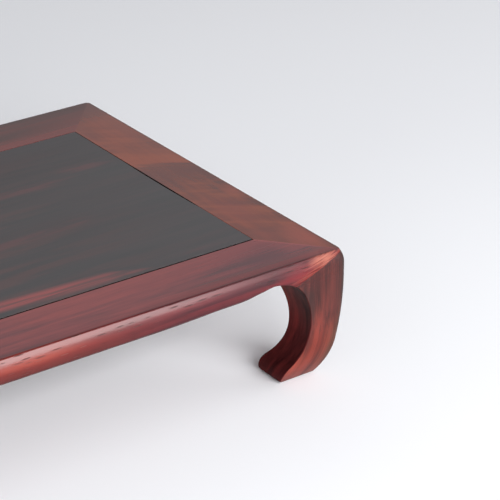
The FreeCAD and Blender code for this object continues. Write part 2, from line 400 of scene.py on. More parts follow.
def leg_ring():
    """Points round a leg: the number of a corner and the turn round its easing."""
    turns = even_steps(0, QUARTER_TURN, LEG_CORNER_STEPS)
    return [(corner, turn) for corner in range(LEG_CORNERS) for turn in turns]


def make_leg(name, node, side, end, material):
    """One hoof leg, lofted up from its sole and set at its corner of the frame."""

    def place(point, height):
        corner, turn = point
        sole = bow(SOLE_EASE, max(SOLE_EASE - height, 0))
        outside = sole - leg_outside(height)
        inside_first = front_curve.leg_inside(height) - sole
        inside_second = side_curve.leg_inside(height) - sole
        ease = HEEL_CORNER_EASE + (CORNER_EASE - HEEL_CORNER_EASE) * min(height / underside, 1)
        if corner != 0:
            ease = ARRIS_EASE if height < underside else 0
        first_centre = inside_first - ease if corner in (1, 2) else outside + ease
        second_centre = inside_second - ease if corner in (2, 3) else outside + ease
        angle = math.pi + corner * QUARTER_TURN + turn
        first = first_centre + ease * math.cos(angle)
        second = second_centre + ease * math.sin(angle)
        return (end * (half_length - first), side * (half_depth - second), height)

    stations = even_steps(0, SOLE_EASE, SOLE_STEPS)
    stations += even_steps(SOLE_EASE, HEEL_HEIGHT, HOOF_STEPS)[1:]
    stations += even_steps(HEEL_HEIGHT, underside - SHOULDER_STEP, FACE_STEPS)[1:]
    stations += even_steps(underside, crest_height, CREST_STEPS)
    stations += even_steps(crest_height, top, EDGE_STEPS)[1:]
    shape = sweep(leg_ring(), stations, place)
    close_ends(shape)
    mitre_peak = (end * half_length, side * half_depth, top - LEG_MITRE_DROP)
    saw(shape, mitre_peak, (-end * front_curve.mitre_slope, 0, 1))
    saw(shape, mitre_peak, (0, -side * side_curve.mitre_slope, 1))
    inwards = Vector((-end, -side, 0))
    marks = (("turned_away", inwards, *HOLLOW_FACING), ("arris", -inwards, *ARRIS_FACING))
    finish_piece(shape, name, [node], material, LEG_SHARP_DEGREES, marks)


# Panel and battens
PANEL_EASE_STEPS = 3
BATTEN_STEPS = 4


def make_panel(material):
    """The floating panel with the tongue round its edge."""

    def place(point, station):
        along, across = point
        height, outset = station
        end_gap = PANEL_RIGHT_GAPS[across] * MM if along > 0 else PANEL_GAP
        side_gap = PANEL_GAP + (PANEL_BACK_GAP - PANEL_GAP) * (across + 1) / 2
        if outset > 0:
            end_gap = 0
            side_gap = 0
        half_panel_length = opening_half_length - end_gap + outset
        half_panel_depth = opening_half_depth - side_gap + outset
        return (along * half_panel_length, across * half_panel_depth, height)

    tongue_top = top - TONGUE_COVER
    tongue_low = tongue_top - TONGUE_THICKNESS
    stations = [(panel_low.z, -PANEL_EASE), (panel_low.z + PANEL_EASE, 0), (tongue_low, 0)]
    stations += [(tongue_low, TONGUE_REACH), (tongue_top, TONGUE_REACH), (tongue_top, 0)]
    for turn in even_steps(0, QUARTER_TURN, PANEL_EASE_STEPS):
        outset = PANEL_EASE * math.cos(turn) - PANEL_EASE
        stations.append((top - PANEL_EASE + PANEL_EASE * math.sin(turn), outset))
    right_edge = [(1, across) for across in PANEL_RIGHT_GAPS]
    shape = sweep([(-1, -1)] + right_edge + [(-1, 1)], stations, place)
    close_ends(shape)
    finish_piece(shape, "panel_board", ["centre_panel"], material)


def make_batten(name, node, material):
    """A bar across the panel's underside, with eased lower edges."""
    low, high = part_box(node)
    middle = (low.x + high.x) / 2
    half_width = (high.x - low.x) / 2

    def place(point, along):
        across, height = point
        return (middle + across, along, height)

    section = [(-half_width, panel_low.z), (-half_width, low.z + BATTEN_EASE)]
    section += [(BATTEN_EASE - half_width, low.z), (half_width - BATTEN_EASE, low.z)]
    section += [(half_width, low.z + BATTEN_EASE), (half_width, panel_low.z)]
    shape = sweep(section, even_steps(-opening_half_depth, opening_half_depth, BATTEN_STEPS), place)
    close_ends(shape)
    finish_piece(shape, name, [node], material)


# Finishes
def opaque(colour):
    """A colour of three values as nodes take it; one that comes from a node stays as it is."""
    return colour if isinstance(colour, bpy.types.NodeSocket) else (*colour, 1.0)


class Mixture:
    """The nodes of a material or of the world: adds them and joins them."""

    def __init__(self, owner):
        owner.use_nodes = True
        self.nodes = owner.node_tree.nodes
        self.links = owner.node_tree.links
        self.nodes.clear()

    def add(self, kind, inputs, **settings):
        """The outputs of a new node, with its inputs set to values or joined to other nodes."""
        node = self.nodes.new(kind)
        for name, value in settings.items():
            setattr(node, name, value)
        for name, value in inputs.items():
            if isinstance(value, bpy.types.NodeSocket):
                self.links.new(value, node.inputs[name])
            else:
                node.inputs[name].default_value = value
        return node.outputs

    def reckon(self, operation, first, second=0.0, third=0.0):
        """Arithmetic on up to three values."""
        return self.add("ShaderNodeMath", {0: first, 1: second, 2: third}, operation=operation)[0]

    def scaled(self, value, times, base):
        """A value times another, added to a base."""
        return self.reckon("MULTIPLY_ADD", value, times, base)

    def less(self, value, taken):
        """What is left of a value when another is taken."""
        return self.reckon("SUBTRACT", value, taken)

    def chain(self, operation, values):
        """One operation carried through several values."""
        result = values[0]
        for value in values[1:]:
            result = self.reckon(operation, result, value)
        return result

    def product(self, *values):
        return self.chain("MULTIPLY", values)

    def largest(self, *values):
        return self.chain("MAXIMUM", values)

    def rest(self, share):
        """What a share leaves over from the whole."""
        return self.less(1.0, share)

    def apart(self, value, level):
        """How far a value is from a level, above or below it."""
        return self.reckon("ABSOLUTE", self.less(value, level))

    def vector(self, operation, first, second=(0, 0, 0)):
        """Arithmetic on places and directions."""
        outputs = self.add("ShaderNodeVectorMath", {0: first, 1: second}, operation=operation)
        return outputs["Value" if operation in ("LENGTH", "DOT_PRODUCT") else "Vector"]

    def axes(self, place):
        """The three coordinates of a place."""
        return self.add("ShaderNodeSeparateXYZ", {0: place})

    def fade(self, value, start, end, low=0.0, high=1.0):
        """Low before start, high after end, and a smooth change between them."""
        inputs = {0: value, 1: start, 2: end, 3: low, 4: high}
        return self.add("ShaderNodeMapRange", inputs, interpolation_type="SMOOTHSTEP")[0]

    def hump(self, value, start, full, falling, end):
        """1 between full and falling, 0 before start and after end; the four are in millimetres."""
        rise = self.fade(value, start * MM, full * MM)
        return self.product(rise, self.fade(value, end * MM, falling * MM))

    def mix(self, share, first, second, blend="MIX"):
        """A share of the second colour in the first."""
        inputs = {0: share, 6: first, 7: opaque(second)}
        return self.add("ShaderNodeMix", inputs, data_type="RGBA", blend_type=blend)[2]

    def ramp(self, value, stops):
        """The colour that a value picks from a row of levels and tones."""
        picked = self.add("ShaderNodeValToRGB", {0: value})[0]
        elements = picked.node.color_ramp.elements
        while len(elements) < len(stops):
            elements.new(0.5)
        for element, (level, colour) in zip(elements, stops):
            element.position = level
            element.color = opaque(colour)
        return picked

    def noise(self, place, repeats, detail=3.0, roughness=0.55, output="Fac"):
        """Random light and dark, with its repeats to a metre on each axis."""
        stretched = self.vector("MULTIPLY", place, repeats)
        inputs = {"Vector": stretched, "Scale": 1.0, "Detail": detail, "Roughness": roughness}
        return self.add("ShaderNodeTexNoise", inputs)[output]


# The figure of the wood, in repeats to a metre: along the grain, then across it both ways
STREAK_REPEATS = (22.0, 330.0, 330.0)
CLOUD_REPEATS = (9.0, 45.0, 45.0)
SWAY_REPEATS = (6.0, 26.0, 26.0)
FIBRE_REPEATS = (70.0, 2200.0, 2200.0)
PORE_REPEATS = (120.0, 1250.0, 1250.0)
RING_REPEATS = 220.0
GRAIN_TURNS = {"X": (0, 0, 0), "Y": (0, 0, -QUARTER_TURN), "Z": (0, QUARTER_TURN, 0)}
ACROSS_GRAIN = (0.0, 1.0, 1.0)
HEART_OFFSET = (0.0, 0.05, 0.04)
SWAY_MIDDLE = (0.5, 0.5, 0.5)
SWAY_REACH = (0.0, 0.016, 0.016)
STREAK_SHARE = 0.4
CLOUD_SHARE = 0.4
VEIN_SHARE = 0.2
TONE_LEVELS = (0.4, 0.5, 0.61)
THREAD_STAINS = ((0.3, (0.84, 0.8, 0.8)), (0.7, (1, 1, 1)))
PORE_SIDES = (0.38, 0.2)
PORE_CHANCE = (0.34, 0.44)
PORE_DARK = (0.012, 0.004, 0.004)
HOOF_BEND = 7 * MM
HOOF_BEND_HEIGHT = 24 * MM
STREAK_CORE = 0.2
STREAK_POINT = 12
STREAK_START = 10
STREAK_END = 8

# The polish: relief in metres, and what dulls the shine
PORE_DEPTH = 20e-6
FIBRE_HEIGHT = 7e-6
PORE_DEEPENING = (0.15, 0.6)
PORE_HOLLOW = 0.6
PORE_ROUGHNESS = 0.3
PORE_SHINE = 0.4
CLOUD_ROUGHNESS = 0.14
DULL_ROUGHNESS = 0.25
DULL_LOSS = 0.62


class Wood(Mixture):
    """Polished hardwood with streaks, veins, fibres and pores that run along the grain."""

    def __init__(self, name, grain, tones, shift, pores=0.4, gloss=0.25, sheen=0.54, bend=False):
        self.material = bpy.data.materials.new(name)
        super().__init__(self.material)
        self.pores = pores
        self.gloss = gloss
        self.sheen = sheen
        self.matt = 0.0
        self.rubbed = 0.0
        self.place = self.add("ShaderNodeTexCoord", {})["Object"]
        self.x, self.y, self.z = self.axes(self.place)
        self.flow = self.hoof_flow() if bend else self.place
        turns = {"Vector": self.flow, "Location": shift, "Rotation": GRAIN_TURNS[grain]}
        self.turned = self.add("ShaderNodeMapping", turns)[0]
        self.cloud = self.noise(self.turned, CLOUD_REPEATS)
        self.fibre = self.noise(self.turned, FIBRE_REPEATS, detail=2.0, roughness=0.6)
        self.pore = self.pore_dashes()
        self.colour = self.figure(tones)

    def hoof_flow(self):
        """Bends straight grain with the foot of a leg, towards the middle of the stand."""
        outwards = self.vector("MULTIPLY", self.vector("SIGN", self.place), (1, 1, 0))
        low = self.reckon("MAXIMUM", self.scaled(self.z, -1 / HOOF_BEND_HEIGHT, 1.0), 0.0)
        push = self.product(low, low, HOOF_BEND)
        shift = self.add("ShaderNodeVectorMath", {0: outwards, "Scale": push}, operation="SCALE")
        return self.vector("ADD", self.place, shift[0])

    def figure(self, tones):
        """The base colour: streaks, clouds and veins in three tones, with fine threads."""
        streaks = self.noise(self.turned, STREAK_REPEATS)
        sway = self.noise(self.turned, SWAY_REPEATS, roughness=0.5, output="Color")
        sway = self.vector("MULTIPLY", self.vector("SUBTRACT", sway, SWAY_MIDDLE), SWAY_REACH)
        across = self.vector("ADD", self.vector("MULTIPLY", self.turned, ACROSS_GRAIN), HEART_OFFSET)
        ring = self.vector("LENGTH", self.vector("ADD", across, sway))
        rings = {"W": ring, "Scale": RING_REPEATS, "Detail": 4.0, "Roughness": 0.6}
        veins = self.add("ShaderNodeTexNoise", rings, noise_dimensions="1D")[0]
        level = self.scaled(streaks, STREAK_SHARE, self.product(self.cloud, CLOUD_SHARE))
        level = self.scaled(veins, VEIN_SHARE, level)
        colour = self.ramp(level, list(zip(TONE_LEVELS, tones)))
        return self.mix(1.0, colour, self.ramp(self.fibre, THREAD_STAINS), "MULTIPLY")

    def pore_dashes(self):
        """1 in the pores, which are short dashes along the grain."""
        stretched = self.vector("MULTIPLY", self.turned, PORE_REPEATS)
        inputs = {"Vector": stretched, "Scale": 1.0, "Randomness": 1.0}
        cells = self.add("ShaderNodeTexVoronoi", inputs)
        chance = self.add("ShaderNodeSeparateColor", {0: cells["Color"]})[0]
        return self.product(self.fade(cells["Distance"], *PORE_SIDES), self.fade(chance, *PORE_CHANCE))

    def tint(self, colour, *where, share=1.0):
        """Lays a colour over the wood where all the given values say so."""
        self.colour = self.mix(self.product(*where, share), self.colour, colour)

    def stain(self, colour, *where, share=1.0):
        """Darkens the wood with a colour where all the given values say so."""
        self.colour = self.mix(self.product(*where, share), self.colour, colour, "MULTIPLY")

    def along(self, start, end, **levels):
        """A smooth change from left to right, between two places in millimetres."""
        return self.fade(self.x, start * MM, end * MM, **levels)

    def back(self, start, end, **levels):
        """A smooth change from front to back, between two places in millimetres."""
        return self.fade(self.y, start * MM, end * MM, **levels)

    def up(self, start, end, **levels):
        """A smooth change upwards, between two heights in millimetres."""
        return self.fade(self.z, start * MM, end * MM, **levels)

    def spot(self, centre, reach):
        """1 at the centre of a soft patch, 0 outside its reach; both are in millimetres."""
        offset = self.vector("SUBTRACT", self.place, [value * MM for value in centre])
        offset = self.vector("DIVIDE", offset, [value * MM for value in reach])
        return self.fade(self.vector("LENGTH", offset), 1.0, 0.0)

    def streak(self, level, slope, half_width, start, end):
        """1 along a soft line on the top, in millimetres, that runs out to a point at both ends."""
        line = self.scaled(self.x, -slope, self.y)
        ends = self.hump(
            self.x, start - STREAK_POINT, start + STREAK_START, end - STREAK_END, end + STREAK_POINT
        )
        reach = self.product(ends, half_width * MM)
        core = self.product(reach, STREAK_CORE)
        return self.product(self.fade(self.apart(line, level * MM), reach, core), ends)

    def above_mitre(self):
        """How far a place on the front lies above the mitre at the top of the right leg."""
        slope = front_curve.mitre_slope
        level = top - LEG_MITRE_DROP - slope * half_length
        return self.less(self.scaled(self.x, -slope, self.z), level)

    def mark(self, name):
        """A mark that the piece's faces carry."""
        return self.add("ShaderNodeAttribute", {}, attribute_name=name)["Fac"]

    def polish(self):
        """Closes the material with its gloss and the relief of pores and fibres."""
        dull = self.mark("turned_away")
        pore = self.product(self.pore, self.pores)
        self.tint(PORE_DARK, pore)
        pore = self.fade(pore, *PORE_DEEPENING, high=PORE_HOLLOW)
        relief = self.scaled(self.fibre, FIBRE_HEIGHT, self.product(pore, -PORE_DEPTH))
        bump = self.add("ShaderNodeBump", {"Height": relief, "Strength": 1.0, "Distance": 1.0})[0]
        rough = self.scaled(self.cloud, CLOUD_ROUGHNESS, self.gloss - CLOUD_ROUGHNESS / 2)
        rough = self.scaled(pore, PORE_ROUGHNESS, rough)
        rough = self.scaled(dull, DULL_ROUGHNESS, self.reckon("ADD", rough, self.rubbed))
        shine = self.scaled(dull, -DULL_LOSS * self.sheen, self.sheen)
        between_pores = self.fade(pore, 0.0, PORE_HOLLOW, low=1.0, high=PORE_SHINE)
        shine = self.product(shine, between_pores, self.rest(self.matt))
        inputs = {"Base Color": self.colour, "Normal": bump}
        inputs.update({"Roughness": rough, "Specular IOR Level": shine})
        shader = self.add("ShaderNodeBsdfPrincipled", inputs)[0]
        self.add("ShaderNodeOutputMaterial", {"Surface": shader})
        return self.material


# The edges of every rail
RIM_LINE_INSET = 0.45 * MM
RIM_LINE_SIDES = (1.25 * MM, 0.4 * MM)
# Painted shade for the crease between the flat top and the moulded edge
RIM_PAINTED_SHADE = (0.6, 0.5, 0.5)
GAP_SIDES = (0.3 * MM, 0.1 * MM)
# Painted shade for the rail's side down in the gap round the panel
GAP_PAINTED_SHADE = (0.014, 0.003, 0.003)


class RailWood(Wood):
    """The wood of a rail, with painted shade in the crease at its rim and on the side that faces the
    panel.
    """

    def __init__(self, name, grain, tones, **finish):
        super().__init__(name, grain, tones, **finish)
        is_long = grain == "X"
        self.outwards = self.reckon("ABSOLUTE", self.y if is_long else self.x)
        self.rim_line = (half_depth if is_long else half_length) - RIM_LINE_INSET
        self.opening = opening_half_depth if is_long else opening_half_length

    def near_rim(self):
        """1 on the crease between the flat top and the moulded edge, 0 a millimetre away."""
        off = self.less(self.outwards, self.rim_line)
        drop = self.less(self.z, top)
        off = self.reckon("SQRT", self.scaled(off, off, self.product(drop, drop)))
        return self.fade(off, *RIM_LINE_SIDES)

    def paint_rim_shade(self):
        """Paints a little shade into the crease at the rim."""
        self.stain(RIM_PAINTED_SHADE, self.near_rim(), share=0.6)

    def paint_gap_shade(self, share=0.9):
        """Paints shade on the side that faces the panel, down in the gap."""
        off = self.less(self.outwards, self.opening)
        self.tint(GAP_PAINTED_SHADE, self.fade(off, *GAP_SIDES), share=share)


# Front rail
FRONT_RAIL_TONES = ((0.082, 0.012, 0.0175), (0.152, 0.0195, 0.0245), (0.235, 0.03, 0.031))
PURPLE_STAIN = (0.58, 0.52, 0.72)
SALMON = (0.21, 0.0265, 0.026)
BAND_PAINTED_SHADE = (0.62, 0.5, 0.54)
BAND_RED = (0.155, 0.0155, 0.01)
LOW_BAND_PAINTED_SHADE = (0.42, 0.5, 0.6)
EMBER = (0.27, 0.048, 0.03)
END_FLAME_REPEATS = (70.0, 1700.0, 200.0)
END_FLAME_FAN = 0.55
END_FLAME_LEAN = 3.2
END_FLAME_TONES = ((0.42, (0.1, 0.009, 0.009)), (0.5, (0.2, 0.025, 0.02)), (0.58, (0.31, 0.08, 0.055)))
BLUSH = (0.21, 0.017, 0.021)
BRIGHT_END = (0.34, 0.115, 0.074)
BESIDE_LEG_PAINTED_SHADE = (0.64, 0.45, 0.45)
MITRE_RED = (0.3, 0.05, 0.045)
BESIDE_RIM_RED = (0.15, 0.0125, 0.0135)
# Painted shade for the crease between the top and the moulded edge
CREASE_PAINTED_SHADE = (0.56, 0.42, 0.48)


def past_corner_mitre(wood):
    """How far a place on the top lies past the mitre with the right rail."""
    across = wood.vector("DOT_PRODUCT", wood.place, (long_rail_width, short_rail_width, 0))
    joint = half_length * long_rail_width - half_depth * short_rail_width
    slant = math.hypot(long_rail_width, short_rail_width)
    return wood.reckon("DIVIDE", wood.less(across, joint), slant)


def dress_front_rail():
    """Purple-red wood, salmon beside the panel, with a streaked orange end at the right leg; painted
    shade darkens its moulded edge, the crease and the end beside the leg.
    """
    wood = RailWood("front_rail_wood", "X", FRONT_RAIL_TONES, shift=(0.31, 0.02, 0.07))
    on_band = wood.back(-99.2, -100.2)
    on_top = wood.fade(on_band, 1.0, 0.0)
    paler_on_band = wood.fade(on_band, 0.0, 1.0, low=1.0, high=0.45)
    wood.stain(PURPLE_STAIN, wood.along(55, 125), wood.along(123, 134, low=1.0, high=0.15), paler_on_band)
    wood.tint(SALMON, wood.back(-85, -72.5), share=0.45)
    # Painted shade: the moulded edge darkened against the flat top, standing for weaker light on the
    # front face
    wood.stain(BAND_PAINTED_SHADE, on_band)
    wood.tint(BAND_RED, on_band, wood.along(75, 0), share=0.8)
    # Painted shade: the moulded edge darker towards its lower side, where it turns down
    wood.stain(LOW_BAND_PAINTED_SHADE, on_band, wood.up(55.5, 49.5), wood.along(100, 0, low=0.3))
    wood.tint(EMBER, wood.spot(centre=(-2, -101.5, 55.8), reach=(34, 12, 2.8)), on_band, share=0.5)

    # The streaks fan out from the corner beside the leg
    lift = wood.above_mitre()
    fan = wood.scaled(wood.x, -END_FLAME_FAN * front_curve.mitre_slope, wood.z)
    fanned = wood.add("ShaderNodeCombineXYZ", {0: wood.x, 1: fan, 2: wood.y})[0]
    flame = wood.noise(fanned, END_FLAME_REPEATS, detail=4.0, roughness=0.7)
    flame_front = wood.scaled(lift, -END_FLAME_LEAN, wood.x)
    at_end = wood.product(on_band, wood.fade(flame_front, 106 * MM, 130 * MM))
    wood.tint(wood.ramp(flame, END_FLAME_TONES), at_end, share=0.85)
    wood.tint(BLUSH, wood.spot(centre=(126, -101.5, 55), reach=(14, 12, 7)), on_band, share=0.35)
    bright = wood.spot(centre=(141, -101.5, 57.8), reach=(11, 12, 5))
    wood.tint(BRIGHT_END, bright, wood.fade(flame, 0.38, 0.5), share=0.62)
    # Painted shade on the end of the moulded edge, just above the mitre with the leg
    shade_beside_leg = wood.product(at_end, wood.fade(lift, 4.2 * MM, 0.8 * MM), wood.along(143, 135))
    wood.stain(BESIDE_LEG_PAINTED_SHADE, shade_beside_leg)

    # The mitre, and painted shade in the crease at the rim
    wood.tint(MITRE_RED, wood.fade(past_corner_mitre(wood), -1.3 * MM, -0.4 * MM), share=0.5)
    wood.tint(BESIDE_RIM_RED, wood.back(-90, -97.5), wood.along(45, 90), on_top, share=0.6)
    # Painted shade in the crease, kept lighter on the band side towards the right
    band_side_crease_lift = wood.product(on_band, wood.along(60, 100, high=0.6))
    crease = wood.product(wood.near_rim(), wood.rest(band_side_crease_lift))
    wood.stain(CREASE_PAINTED_SHADE, crease, wood.along(-5, 20, low=0.3, high=0.8))
    wood.paint_gap_shade()

    crease_matt = wood.product(crease, wood.along(0, 60, low=0.2, high=0.36))
    band_matt = wood.product(on_band, wood.up(56.5, 53, low=0.08, high=0.3))
    beside_crease = wood.product(wood.back(-93.8, -98.5), on_top)
    beside_crease_matt = wood.product(beside_crease, wood.along(0, 130, low=0.15, high=0.3))
    wood.matt = wood.largest(crease_matt, band_matt, wood.product(shade_beside_leg, 0.4), beside_crease_matt)
    wood.rubbed = wood.product(on_band, wood.along(0, 100, low=0.035, high=-0.035))
    band_pores = wood.up(54.5, 56.5, low=0.25, high=0.68)
    wood.pores = wood.fade(on_band, 0.0, 1.0, low=0.12, high=band_pores)
    return wood.polish()


# Right rail
RIGHT_RAIL_TONES = ((0.085, 0.012, 0.008), (0.138, 0.021, 0.0075), (0.19, 0.031, 0.009))
SLANT_DEGREES = 36
RIBBON_REPEATS = (28.0, 150.0, 60.0)
RIBBON_LIGHT = (0.215, 0.04, 0.011)
RIBBON_DARK = (0.075, 0.011, 0.0075)
WARM_ORANGE = (0.215, 0.03, 0.008)
FINGER_REPEATS = (40.0, 170.0, 60.0)
FINGER_REACH = 8 * MM
SIDE_FLAME_SLOPE = 0.42
SIDE_FLAME_LIGHT = (0.235, 0.039, 0.01)
SIDE_FLAME_DARK = (0.085, 0.0122, 0.008)
FAR_END_DARK = (0.072, 0.0085, 0.0065)

# Soft patches on the right rail: centre and reach in millimetres, share and tone
RIGHT_RAIL_PATCHES = (
    ((129, 66, 60), (10, 16, 30), 0.45, (0.11, 0.0145, 0.0075)),
    ((147, -26, 60), (8, 10, 30), 0.75, (0.215, 0.036, 0.016)),
    ((135, -45, 60), (14, 28, 30), 0.6, (0.165, 0.021, 0.012)),
    ((145, -72, 60), (9, 12, 30), 0.6, (0.225, 0.038, 0.017)),
    ((131, -72, 60), (10, 13, 30), 0.5, (0.19, 0.027, 0.016)),
    ((143, -84, 60), (13, 20, 30), 0.8, (0.235, 0.036, 0.02)),
)


def dress_right_rail():
    """Orange-brown wood with a soft figure that slants across the rail."""
    shift = (0.12, 0.03, 0.05)
    wood = RailWood("right_rail_wood", "Y", RIGHT_RAIL_TONES, shift=shift, pores=0.1, sheen=0.46)
    turns = {"Vector": wood.place, "Rotation": (0, 0, math.radians(SLANT_DEGREES))}
    slanted = wood.add("ShaderNodeMapping", turns)[0]
    ribbon = wood.noise(slanted, RIBBON_REPEATS, detail=2.0)
    wood.tint(RIBBON_LIGHT, wood.fade(ribbon, 0.5, 0.72), share=0.7)
    wood.tint(RIBBON_DARK, wood.fade(ribbon, 0.5, 0.28), share=0.6)
    wood.tint(WARM_ORANGE, wood.hump(wood.y, 30, 55, 75, 95), share=0.4)
    for centre, reach, share, colour in RIGHT_RAIL_PATCHES:
        wood.tint(colour, wood.spot(centre, reach), share=share)
    fingers = wood.noise(slanted, FINGER_REPEATS, detail=2.0, roughness=0.5)
    fingers = wood.fade(fingers, 0.3, 0.7)
    flame = wood.scaled(wood.x, SIDE_FLAME_SLOPE, wood.y)
    flame = wood.scaled(fingers, FINGER_REACH, flame)
    wood.tint(SIDE_FLAME_LIGHT, wood.hump(flame, 73.5, 81, 84, 112), share=0.75)
    wood.tint(SIDE_FLAME_DARK, wood.hump(flame, 48, 68, 73, 80), share=0.6)
    wood.tint(FAR_END_DARK, wood.back(72, 92), share=0.8)
    wood.paint_rim_shade()
    wood.paint_gap_shade(wood.product(wood.back(-34, -24), wood.back(16, 30, low=0.9, high=0.5)))
    wood.matt = wood.product(wood.along(146, 134), wood.back(0, 40), 0.12)
    return wood.polish()


# Back and left rails
BACK_RAIL_TONES = ((0.04, 0.005, 0.0045), (0.07, 0.0075, 0.006), (0.115, 0.015, 0.011))
BACK_RAIL_RED = (0.16, 0.018, 0.016)
BACK_CORNER_BROWN = (0.13, 0.015, 0.011)
LEFT_RAIL_TONES = ((0.08, 0.01, 0.009), (0.135, 0.017, 0.011), (0.195, 0.028, 0.014))


def dress_back_rail():
    """Darker brown wood with a red streak beside the panel."""
    shift = (0.83, 0.05, 0.02)
    wood = RailWood("back_rail_wood", "X", BACK_RAIL_TONES, shift=shift, pores=0.15, sheen=0.36)
    wood.tint(BACK_RAIL_RED, wood.back(84, 74), share=0.7)
    wood.tint(BACK_CORNER_BROWN, wood.along(105, 135), wood.back(98, 86), share=0.5)
    wood.paint_rim_shade()
    wood.paint_gap_shade(0.2)
    return wood.polish()


def dress_left_rail():
    """Red-brown wood between the tones of its neighbours."""
    wood = RailWood("left_rail_wood", "Y", LEFT_RAIL_TONES, shift=(0.57, 0.01, 0.09), pores=0.15)
    wood.paint_rim_shade()
    wood.paint_gap_shade()
    return wood.polish()


# Legs' wood
LEG_TONES = ((0.05, 0.009, 0.0075), (0.105, 0.0195, 0.015), (0.17, 0.029, 0.02))
INSIDE_PAINTED_SHADE = (0.95, 0.58, 0.74)
HOLLOW_PAINTED_SHADE = (0.58, 0.8, 0.85)
BESIDE_FACE_PAINTED_SHADE = (0.62, 0.92, 0.92)
ARRIS_PAINTED_SHADE = (0.55, 0.85, 0.88)
STRIPE_ORANGE = (0.19, 0.031, 0.021)
STRIPE_PLACE = 137.5 * MM
TOE_SALMON = (0.28, 0.044, 0.027)
HEEL_BROWN = (0.068, 0.0145, 0.012)
HEEL_FOOT_ORANGE = (0.185, 0.043, 0.029)
HEEL_EDGE_PAINTED_SHADE = (0.5, 0.92, 0.95)
SHOULDER_PAINTED_SHADE = (0.55, 0.86, 0.92)
LEG_TOP_STAIN = (0.78, 0.84, 0.88)
FINE_STRIPE_REPEATS = (30.0, 1500.0, 1500.0)
FINE_STRIPE_STAIN = (0.58, 0.72, 0.75)
SPECK_REPEATS = (1500.0, 1500.0, 700.0)
SPECK_DARK = (0.03, 0.008, 0.009)


def leg_base(name, shift):
    """Brown wood with upright stripes that bend into the hoof, with painted shade on the hollow side and
    on the rounded outer corner.
    """
    wood = Wood(name, "Z", LEG_TONES, shift, pores=0.15, gloss=0.34, sheen=0.3, bend=True)
    hollow_side = wood.mark("turned_away")
    inside = wood.product(hollow_side, wood.up(46, 26, low=0.35))
    # Painted shade on the hollow side of the leg, deepest low down and beside the front face
    wood.stain(INSIDE_PAINTED_SHADE, inside)
    wood.stain(HOLLOW_PAINTED_SHADE, inside, wood.up(28, 14), wood.up(0, 12, low=0.5))
    beside_face = wood.fade(wood.reckon("ABSOLUTE", wood.y), 91 * MM, 98 * MM)
    wood.stain(BESIDE_FACE_PAINTED_SHADE, hollow_side, beside_face, wood.up(14, 30))
    arris = wood.mark("arris")
    # Painted shade on the rounded outer corner, which turns away from the light
    wood.stain(ARRIS_PAINTED_SHADE, arris)
    wood.matt = wood.largest(wood.up(36, 12, high=0.6), wood.product(arris, 0.8))
    return wood


def dress_front_right_leg():
    """The leg nearest the eye: an orange stripe, a salmon toe, a dark heel with painted shade along its
    right edge, painted shade below the arch, and specks under the mitre.
    """
    wood = leg_base("front_right_leg_wood", shift=(0.2, 0.11, 0.0271))
    flow_x = wood.axes(wood.flow)[0]
    outside = wood.fade(wood.mark("turned_away"), 0.5, 0.1)
    stripe = wood.fade(wood.apart(flow_x, STRIPE_PLACE), 3.8 * MM, 0.7 * MM)
    wood.tint(STRIPE_ORANGE, stripe, wood.up(43, 24), outside, share=0.75)
    wood.tint(TOE_SALMON, wood.spot(centre=(125, -97, 10), reach=(14, 16, 14)), outside, share=0.75)
    heel = wood.product(wood.fade(flow_x, 139 * MM, 146 * MM), outside)
    wood.tint(HEEL_BROWN, heel, wood.up(22, 40), share=0.6)
    wood.tint(HEEL_FOOT_ORANGE, heel, wood.up(32, 18), share=0.65)
    # Painted shade along the leg's right edge
    past_edge = wood.less(wood.x, wood.up(0, 35, low=140.5 * MM, high=146.2 * MM))
    wood.stain(HEEL_EDGE_PAINTED_SHADE, wood.fade(past_edge, 0.0, 3.5 * MM), outside, share=0.85)
    # Painted shade on the front face beside the hollow, below the arch
    shoulder = wood.product(wood.hump(wood.z, 27, 35, 43, 48), wood.along(137, 133.5))
    wood.stain(SHOULDER_PAINTED_SHADE, shoulder, outside, share=0.85)
    wood.stain(LEG_TOP_STAIN, wood.up(24, 46), share=0.9)
    fine_stripes = wood.noise(wood.turned, FINE_STRIPE_REPEATS, roughness=0.65)
    wood.stain(FINE_STRIPE_STAIN, wood.fade(fine_stripes, 0.54, 0.36), outside, share=0.8)
    specks = wood.noise(wood.place, SPECK_REPEATS, detail=2.0, roughness=0.6)
    under_mitre = wood.fade(wood.above_mitre(), -12 * MM, 0.0)
    wood.tint(SPECK_DARK, wood.fade(specks, 0.46, 0.62), under_mitre, share=0.65)
    return wood.polish()


# Panel's wood
PANEL_TONES = ((0.0075, 0.006, 0.0088), (0.0145, 0.009, 0.0122), (0.023, 0.011, 0.0138))
HAZE_REPEATS = (16.0, 130.0, 30.0)
HAZE_RED = (0.05, 0.0125, 0.0125)
DASH_BREAK_REPEATS = (40.0, 260.0, 30.0)
DASH_RED = (0.085, 0.0135, 0.0165)
STRAND_REPEATS = (24.0, 520.0, 30.0)
FRONT_FLAME_RED = (0.25, 0.032, 0.032)
PANEL_GAP_PAINTED_SHADE = (0.004, 0.002, 0.002)

# Streaks on the panel: level, slope, half width, start and end, with lengths in millimetres
PANEL_DASHES = (
    (28.0, 0.0, 5.0, 20, 92),
    (-17.5, 0.05, 4.5, -20, 80),
    (-66.8, 0.0, 3.0, 96, 110),
    (45.0, -0.1, 5.0, 90, 115),
    (8.0, 0.04, 4.0, -110, -30),
    (52.0, -0.03, 5.0, -90, 10),
)
FRONT_FLAME = (-62.55, -0.055, 5.9, -95, 62)
FRONT_FLAME_TAIL = (-54.0, -0.2, 3.4, 58, 70)


